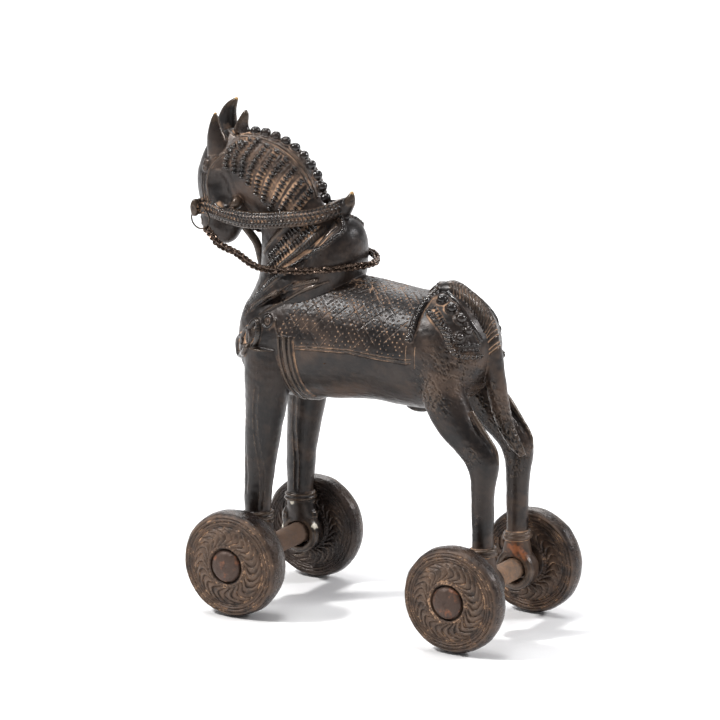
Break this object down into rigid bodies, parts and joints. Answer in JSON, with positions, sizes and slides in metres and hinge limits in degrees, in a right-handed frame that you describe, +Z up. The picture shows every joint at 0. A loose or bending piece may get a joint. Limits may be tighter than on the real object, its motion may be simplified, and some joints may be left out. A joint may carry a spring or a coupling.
{
  "type": "horse statuette on wheels",
  "caption": "Cast bronze horse statuette with beaded mane, braided reins and a link chain, standing on wheels that turn on two loose iron axles.",
  "frame": {"origin": "middle of the base, on the surface that the wheels stand on, under the middle of the horse without its loose chain", "axes": "+Z up, -X towards the horse's head, -Y towards the horse's left side"},
  "size_m": [0.207, 0.104, 0.2598],
  "materials": {
    "bronze": "dark brown patina, worn semi-gloss, tan earth in the recesses",
    "wheel_bronze": "brown patina, matt, earth-filled relief",
    "rusty_iron": "rough, rusty",
    "bronze_wire": "dark drawn wire, semi-gloss",
    "chain_bronze": "worn round links",
    "fired_clay": "rough fired clay"
  },
  "bodies": {
    "horse": {"horse_casting": "bronze", "clay_core": "fired_clay", "core_pin_left": "rusty_iron", "core_pin_right": "rusty_iron", "rein_chain": "chain_bronze"},
    "front_axle": {"front_axle": "rusty_iron"},
    "rear_axle": {"rear_axle": "rusty_iron"},
    "wheel_front_left": {"wheel_front_left": "wheel_bronze"},
    "wheel_front_right": {"wheel_front_right": "wheel_bronze"},
    "wheel_rear_left": {"wheel_rear_left": "wheel_bronze"},
    "wheel_rear_right": {"wheel_rear_right": "wheel_bronze"},
    "bit_ring_left": {"bit_ring_left": "bronze_wire"},
    "bit_ring_right": {"bit_ring_right": "bronze_wire"}
  },
  "joints": [
    {"name": "front_axle_spin", "type": "hinge", "parent": "horse", "child": "front_axle", "pos_m": [-0.0545, 0, 0.028], "axis": [0, 1, 0], "continuous": true},
    {"name": "rear_axle_spin", "type": "hinge", "parent": "horse", "child": "rear_axle", "pos_m": [0.0755, 0, 0.028], "axis": [0, 1, 0], "continuous": true},
    {"name": "wheel_front_left_spin", "type": "hinge", "parent": "front_axle", "child": "wheel_front_left", "pos_m": [-0.0545, -0.0413, 0.028], "axis": [0, 1, 0], "continuous": true},
    {"name": "wheel_front_right_spin", "type": "hinge", "parent": "front_axle", "child": "wheel_front_right", "pos_m": [-0.0545, 0.0413, 0.028], "axis": [0, 1, 0], "continuous": true},
    {"name": "wheel_rear_left_spin", "type": "hinge", "parent": "rear_axle", "child": "wheel_rear_left", "pos_m": [0.0755, -0.0413, 0.028], "axis": [0, 1, 0], "continuous": true},
    {"name": "wheel_rear_right_spin", "type": "hinge", "parent": "rear_axle", "child": "wheel_rear_right", "pos_m": [0.0755, 0.0413, 0.028], "axis": [0, 1, 0], "continuous": true},
    {"name": "bit_ring_left_swing", "type": "hinge", "parent": "horse", "child": "bit_ring_left", "pos_m": [-0.09799, -0.0065, 0.20303], "axis": [0.5592, 0, -0.829], "range_deg": [-12, 14]},
    {"name": "bit_ring_right_swing", "type": "hinge", "parent": "horse", "child": "bit_ring_right", "pos_m": [-0.09799, 0.0195, 0.20303], "axis": [-0.5592, 0, 0.829], "range_deg": [-12, 14]}
  ]
}
